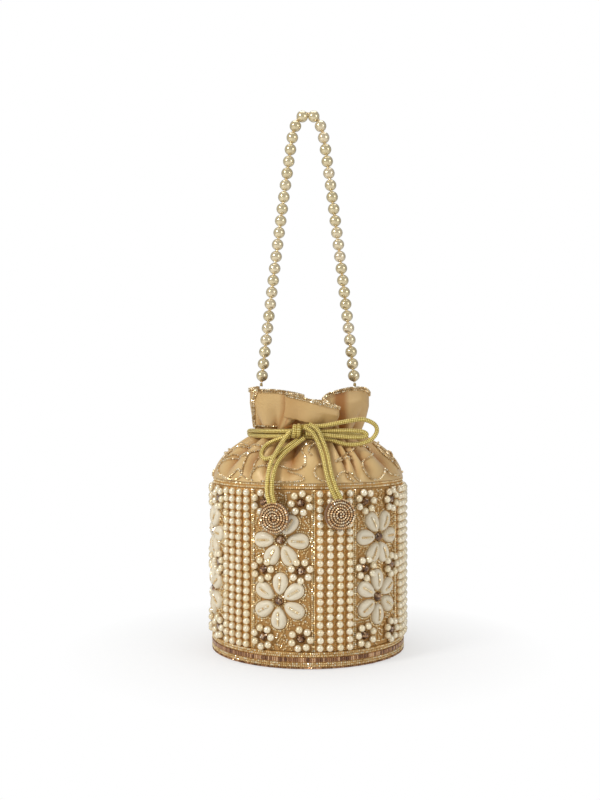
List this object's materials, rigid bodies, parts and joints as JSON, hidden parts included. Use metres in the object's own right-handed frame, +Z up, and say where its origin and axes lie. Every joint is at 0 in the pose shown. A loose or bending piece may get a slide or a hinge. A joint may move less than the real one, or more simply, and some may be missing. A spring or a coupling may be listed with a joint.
{
  "type": "potli bag",
  "caption": "Round drawstring pouch with a stiff beaded body, gathered satin neck, tied cord with disc ends and a pearl carrying loop that swings.",
  "frame": {"origin": "middle of the underside of the base disc, on the surface the bag stands on", "axes": "+Z up, the tied bow and its discs face -Y, +X to the right seen from the front"},
  "size_m": [0.14, 0.1441, 0.373],
  "materials": {
    "card": "matte",
    "lining": "matte",
    "satin": "satin",
    "ivory_pearls": "gloss",
    "shells": "satin",
    "seed_beads": "gloss",
    "handle_pearls": "gloss",
    "drawcord": "satin"
  },
  "bodies": {
    "bag": {"base_disc": "card", "body_wall": "card", "lining_cup": "lining", "base_band": "seed_beads", "shoulder_trim": "seed_beads", "pearl_panel_1": "ivory_pearls", "pearl_panel_2": "ivory_pearls", "pearl_panel_3": "ivory_pearls", "pearl_panel_4": "ivory_pearls", "pearl_panel_5": "ivory_pearls", "pearl_panel_6": "ivory_pearls", "flower_panel_1": "shells", "flower_panel_2": "shells", "flower_panel_3": "shells", "flower_panel_4": "shells", "flower_panel_5": "shells", "flower_panel_6": "shells", "satin_collar": "satin", "left_thread_knot": "drawcord", "right_thread_knot": "drawcord", "neck_cord": "drawcord", "bow_knot": "drawcord", "left_disc": "seed_beads", "right_disc": "seed_beads", "left_tail_outer": "drawcord", "left_tail_inner": "drawcord", "left_loop": "drawcord", "right_tail_inner": "drawcord", "right_tail_outer": "drawcord", "right_loop_large": "drawcord", "right_loop_small": "drawcord"},
    "handle": {"pearl_handle": "handle_pearls"}
  },
  "joints": [
    {"name": "handle_swing", "type": "hinge", "parent": "bag", "child": "handle", "pos_m": [0, 0, 0.1827], "axis": [1, 0, 0], "range_deg": [-75, 75]}
  ]
}
